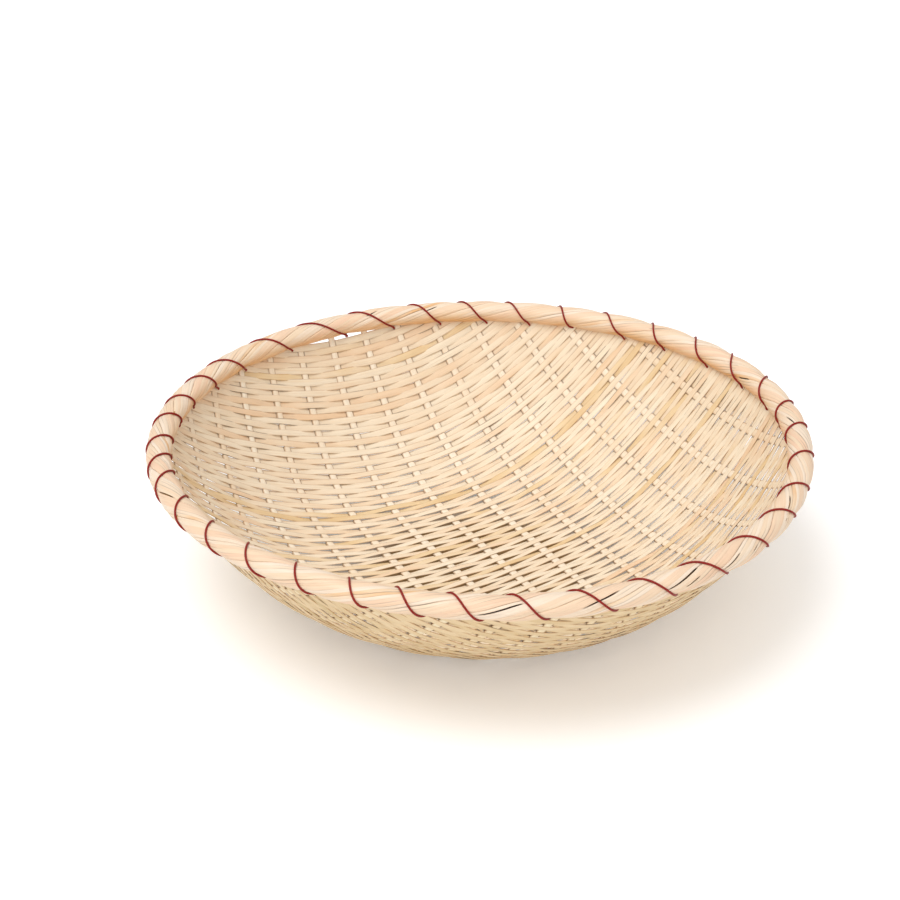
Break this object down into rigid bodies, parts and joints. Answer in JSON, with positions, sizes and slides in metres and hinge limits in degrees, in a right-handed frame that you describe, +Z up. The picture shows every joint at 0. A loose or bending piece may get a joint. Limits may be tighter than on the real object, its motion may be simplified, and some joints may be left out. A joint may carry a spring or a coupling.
{
  "type": "zaru bamboo basket",
  "caption": "Round shallow bamboo basket, plain woven from flat stakes and narrow weavers, with a twisted rope rim lashed on by coated wire.",
  "frame": {"origin": "middle of the plane that the basket rests on", "axes": "+Z up, stakes run along Y and weavers along X"},
  "size_m": [0.4234, 0.4237, 0.1055],
  "materials": {
    "stake_bamboo": "peeled bamboo, satin",
    "weaver_bamboo": "split bamboo, satin",
    "rim_bamboo": "shaved bamboo, smooth satin",
    "hoop_bamboo": "split bamboo, rough",
    "wire_coat": "dark red coated wire, semi-gloss"
  },
  "bodies": {
    "root": {"stake_01": "stake_bamboo", "stake_02": "stake_bamboo", "stake_03": "stake_bamboo", "stake_04": "stake_bamboo", "stake_05": "stake_bamboo", "stake_06": "stake_bamboo", "stake_07": "stake_bamboo", "stake_08": "stake_bamboo", "stake_09": "stake_bamboo", "stake_10": "stake_bamboo", "stake_11": "stake_bamboo", "stake_12": "stake_bamboo", "stake_13": "stake_bamboo", "stake_14": "stake_bamboo", "weaver_01": "weaver_bamboo", "weaver_02": "weaver_bamboo", "weaver_03": "weaver_bamboo", "weaver_04": "weaver_bamboo", "weaver_05": "weaver_bamboo", "weaver_06": "weaver_bamboo", "weaver_07": "weaver_bamboo", "weaver_08": "weaver_bamboo", "weaver_09": "weaver_bamboo", "weaver_10": "weaver_bamboo", "weaver_11": "weaver_bamboo", "weaver_12": "weaver_bamboo", "weaver_13": "weaver_bamboo", "weaver_14": "weaver_bamboo", "weaver_15": "weaver_bamboo", "weaver_16": "weaver_bamboo", "weaver_17": "weaver_bamboo", "weaver_18": "weaver_bamboo", "weaver_19": "weaver_bamboo", "weaver_20": "weaver_bamboo", "weaver_21": "weaver_bamboo", "weaver_22": "weaver_bamboo", "weaver_23": "weaver_bamboo", "weaver_24": "weaver_bamboo", "weaver_25": "weaver_bamboo", "weaver_26": "weaver_bamboo", "weaver_27": "weaver_bamboo", "rim_strand_01": "rim_bamboo", "rim_strand_02": "rim_bamboo", "rim_strand_03": "rim_bamboo", "rim_strand_04": "rim_bamboo", "rim_hoop": "hoop_bamboo", "lashing_wire": "wire_coat"}
  },
  "joints": []
}
